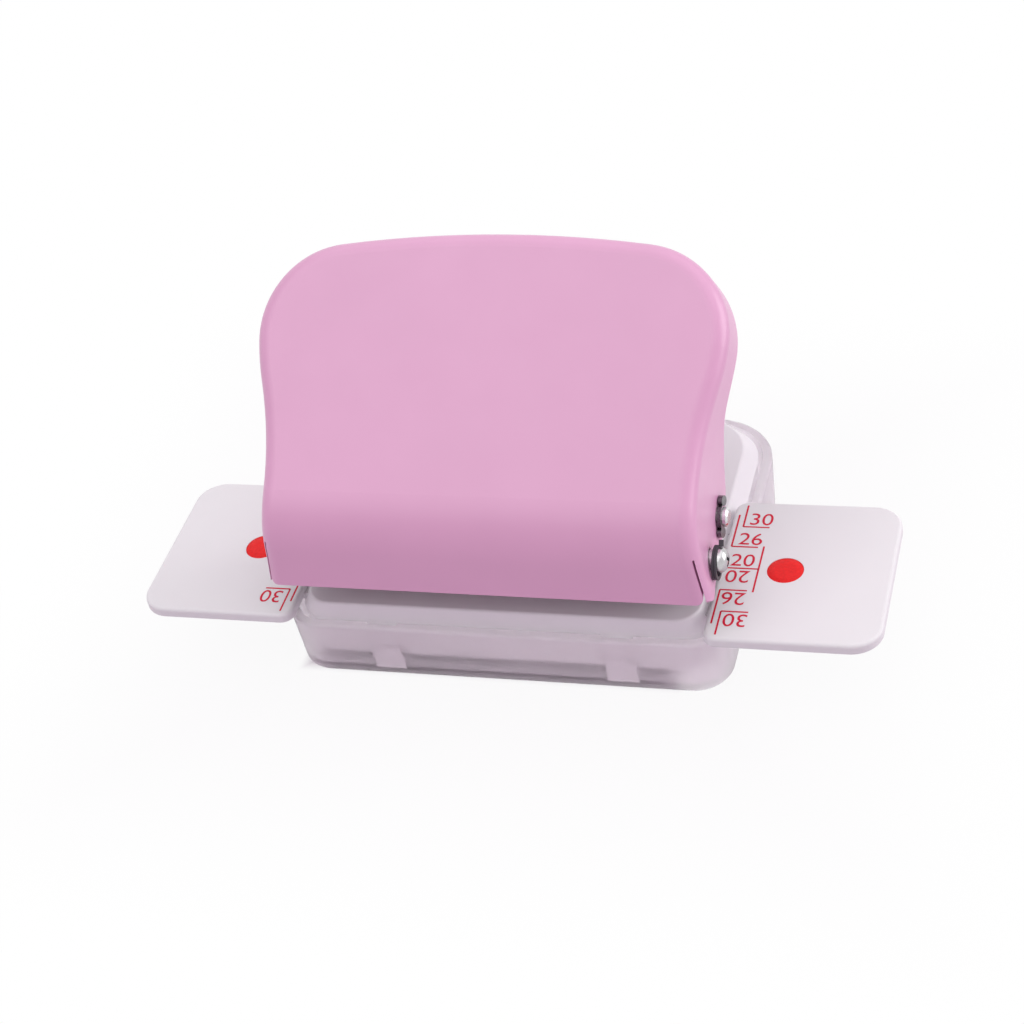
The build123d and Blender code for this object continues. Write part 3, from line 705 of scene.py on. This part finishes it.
def spring_route(low, high):
    """Gives angle and height along the wire: a foot, a lead, even turns, and the same on top."""
    foot = [(0.0, low)]
    for i in range(LEAD_STEPS):
        angle = math.radians(90 * i / LEAD_STEPS)
        foot.append((LEAD_ANGLE * (1 - math.cos(angle)), low + WIRE + LEAD_RISE * math.sin(angle)))
    whole = 2 * LEAD_ANGLE + 180 * HALF_TURNS
    coil_low = low + WIRE + LEAD_RISE
    coil_high = high - WIRE - LEAD_RISE
    route = list(foot)
    steps = HALF_TURNS * STEPS_IN_HALF_TURN
    for i in range(steps + 1):
        share = i / steps
        route.append((LEAD_ANGLE + 180 * HALF_TURNS * share, coil_low + (coil_high - coil_low) * share))
    route += [(whole - angle, low + high - height) for angle, height in reversed(foot)]
    return route


def wound_spring(centre_x, low, high):
    """Makes a closed coil of round wire between two heights."""
    curve = bpy.data.curves.new("spring", "CURVE")
    curve.dimensions = "3D"
    curve.bevel_depth = WIRE / 2
    curve.bevel_resolution = 2
    curve.use_fill_caps = True
    route = spring_route(low, high)
    line = curve.splines.new("POLY")
    line.points.add(len(route) - 1)
    for point, (angle, height) in zip(line.points, route):
        turn = math.radians(angle)
        place = (centre_x + SPRING_RADIUS * math.cos(turn), SPRING_RADIUS * math.sin(turn), height)
        point.co = (*place, 1.0)
    holder = bpy.data.objects.new("spring", curve)
    bpy.context.scene.collection.objects.link(holder)
    bpy.context.view_layer.update()
    data = bpy.data.meshes.new_from_object(holder)
    bpy.data.objects.remove(holder)
    mesh = bmesh.new()
    mesh.from_mesh(data)
    bpy.data.meshes.remove(data)
    return mesh


for number, name in enumerate(numbered("return_spring_"), start=1):
    low, high = (corner.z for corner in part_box(name))
    coil = wound_spring(middle_of(f"punch_{number}").x, low, high)
    spring = add_piece(f"wound_spring_{number}", coil, plain_spring, "base")
    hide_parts(name)
    smooth_below(spring, KEPT_WIRE_EDGE)
    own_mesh(spring)


# Node helpers for the floor and the surround
def add_node(tree, kind, *sources, **settings):
    """Adds a node with its settings, and joins the sources to its first inputs."""
    node = tree.nodes.new(kind)
    for name, value in settings.items():
        setattr(node, name, value)
    for source, target in zip(sources, node.inputs):
        tree.links.new(source, target)
    return node


def maths(tree, operation, first, second, clamp=False):
    node = add_node(tree, "ShaderNodeMath", first, second, operation=operation, use_clamp=clamp)
    return node.outputs["Value"]


def seen_directly(tree):
    """Gives 1 to rays from the camera, from a reflection or through a clear surface, and 0 to others."""
    ray = add_node(tree, "ShaderNodeLightPath").outputs
    direct = maths(tree, "ADD", ray["Is Camera Ray"], ray["Is Glossy Ray"])
    return maths(tree, "ADD", direct, ray["Is Transmission Ray"], clamp=True)


def fade(tree, value, start, end, top):
    """Runs smoothly from 0 at the start to a top value at the end."""
    span = add_node(tree, "ShaderNodeMapRange", value, interpolation_type="SMOOTHSTEP")
    span.inputs["From Min"].default_value = start
    span.inputs["From Max"].default_value = end
    span.inputs["To Max"].default_value = top
    return span.outputs["Result"]


def distance_outside(tree, low, high):
    """How far a place on the floor is outside a rectangle. Inside, it is below 0."""
    place = add_node(tree, "ShaderNodeTexCoord").outputs["Object"]
    apart = add_node(tree, "ShaderNodeVectorMath", place, operation="SUBTRACT")
    apart.inputs[1].default_value = ((low.x + high.x) / 2, (low.y + high.y) / 2, 0.0)
    size = add_node(tree, "ShaderNodeVectorMath", apart.outputs["Vector"], operation="ABSOLUTE")
    beyond = add_node(tree, "ShaderNodeVectorMath", size.outputs["Vector"], operation="SUBTRACT")
    beyond.inputs[1].default_value = ((high.x - low.x) / 2, (high.y - low.y) / 2, 0.0)
    parts = add_node(tree, "ShaderNodeSeparateXYZ", beyond.outputs["Vector"]).outputs
    return maths(tree, "MAXIMUM", parts["X"], parts["Y"])


# Floor: white around the tray and shaded under it, less at the right and the back. Under the tray its
# violet colour is painted shade, and the glow at the tray's right and back is painted light.
FLOOR_HALF_SIZE = 3.0
# Strips at the tray's right and back where the floor glows under the tray: painted light
LIT_MARGIN = Vector((7.0 * MM, 10.0 * MM, 0.0))
EDGE_FADE = 4.0 * MM
EDGE_GLOW = 0.93
FAR_FADE = 60.0 * MM
FAR_GLOW = 1.0 - EDGE_GLOW


def floor_material():
    material = bpy.data.materials.new("floor")
    material.use_nodes = True
    tree = material.node_tree
    tree.nodes.clear()
    # The matte floor's darker violet colour under the tray is painted shade
    matte = add_node(tree, "ShaderNodeBsdfDiffuse")
    matte.inputs["Color"].default_value = (*FLOOR_PAINTED_SHADE, 1.0)
    glow = add_node(tree, "ShaderNodeEmission")
    glow.inputs["Color"].default_value = (1.0, 1.0, 1.0, 1.0)
    low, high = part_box("chip_tray")
    # The floor glows under the tray's right and back strips: painted light that stands for light through
    # the tray
    outside = distance_outside(tree, low, high - LIT_MARGIN)
    edge = fade(tree, outside, -EDGE_FADE, 0.0, EDGE_GLOW)
    far = fade(tree, outside, 0.0, FAR_FADE, FAR_GLOW)
    share = maths(tree, "MULTIPLY", seen_directly(tree), maths(tree, "ADD", edge, far))
    mix = add_node(tree, "ShaderNodeMixShader", share, matte.outputs["BSDF"], glow.outputs["Emission"])
    add_node(tree, "ShaderNodeOutputMaterial", mix.outputs["Shader"])
    return material


def floor():
    mesh = bmesh.new()
    bmesh.ops.create_grid(mesh, x_segments=1, y_segments=1, size=FLOOR_HALF_SIZE)
    data = bpy.data.meshes.new("floor")
    mesh.to_mesh(data)
    mesh.free()
    data.materials.append(floor_material())
    piece = bpy.data.objects.new("floor", data)
    bpy.context.scene.collection.objects.link(piece)


floor()


# Light: an even pale surround with three soft lamps, at the front left, above and at the back right
def surround():
    world = bpy.data.worlds.new("surround")
    world.use_nodes = True
    tree = world.node_tree
    level = add_node(tree, "ShaderNodeMix", data_type="RGBA")
    level.inputs["A"].default_value = (*SHADE_LIGHT, 1.0)
    level.inputs["B"].default_value = (1.0, 1.0, 1.0, 1.0)
    tree.links.new(seen_directly(tree), level.inputs["Factor"])
    tree.links.new(level.outputs["Result"], tree.nodes["Background"].inputs["Color"])
    bpy.context.scene.world = world


def softbox(name, place, aim, side, watts):
    """Adds a square lamp that faces a point."""
    light = bpy.data.lights.new(name, "AREA")
    light.size = side
    light.energy = watts
    holder = bpy.data.objects.new(name, light)
    holder.location = place
    direction = Vector(aim) - Vector(place)
    holder.rotation_euler = direction.to_track_quat("-Z", "Y").to_euler()
    bpy.context.scene.collection.objects.link(holder)


surround()
softbox("key_light", place=(-0.30, -0.50, 0.74), aim=(0.0, 0.0, 0.03), side=0.85, watts=1.9)
softbox("top_light", place=(0.0, 0.10, 0.75), aim=(0.0, 0.01, 0.03), side=1.2, watts=3.2)
softbox("right_light", place=(1.15, 0.40, 0.40), aim=(0.0, 0.0, 0.03), side=0.9, watts=7.6)


# Camera, at the photograph's place
def camera():
    azimuth = math.radians(22.421)
    elevation = math.radians(38.924)
    roll = math.radians(-12.322)
    distance = 352.06 * MM
    focal_pixels = 2202.2
    target = Vector((-3.26 * MM, 10.90 * MM, deck_level))
    forward = Vector((
        -math.sin(azimuth) * math.cos(elevation),
        math.cos(azimuth) * math.cos(elevation),
        -math.sin(elevation),
    ))
    level_right = forward.cross(Vector((0.0, 0.0, 1.0))).normalized()
    level_up = level_right.cross(forward)
    right = level_right * math.cos(roll) + level_up * math.sin(roll)
    up = level_up * math.cos(roll) - level_right * math.sin(roll)
    data = bpy.data.cameras.new("camera")
    data.sensor_fit = "HORIZONTAL"
    data.sensor_width = 36.0
    data.lens = focal_pixels * data.sensor_width / IMAGE_SIDE
    data.clip_start = 0.01
    holder = bpy.data.objects.new("camera", data)
    turn = Matrix((right, up, -forward)).transposed().to_4x4()
    holder.matrix_world = Matrix.Translation(target - forward * distance) @ turn
    bpy.context.scene.collection.objects.link(holder)
    bpy.context.scene.camera = holder


camera()
bpy.context.scene.view_settings.view_transform = "Standard"
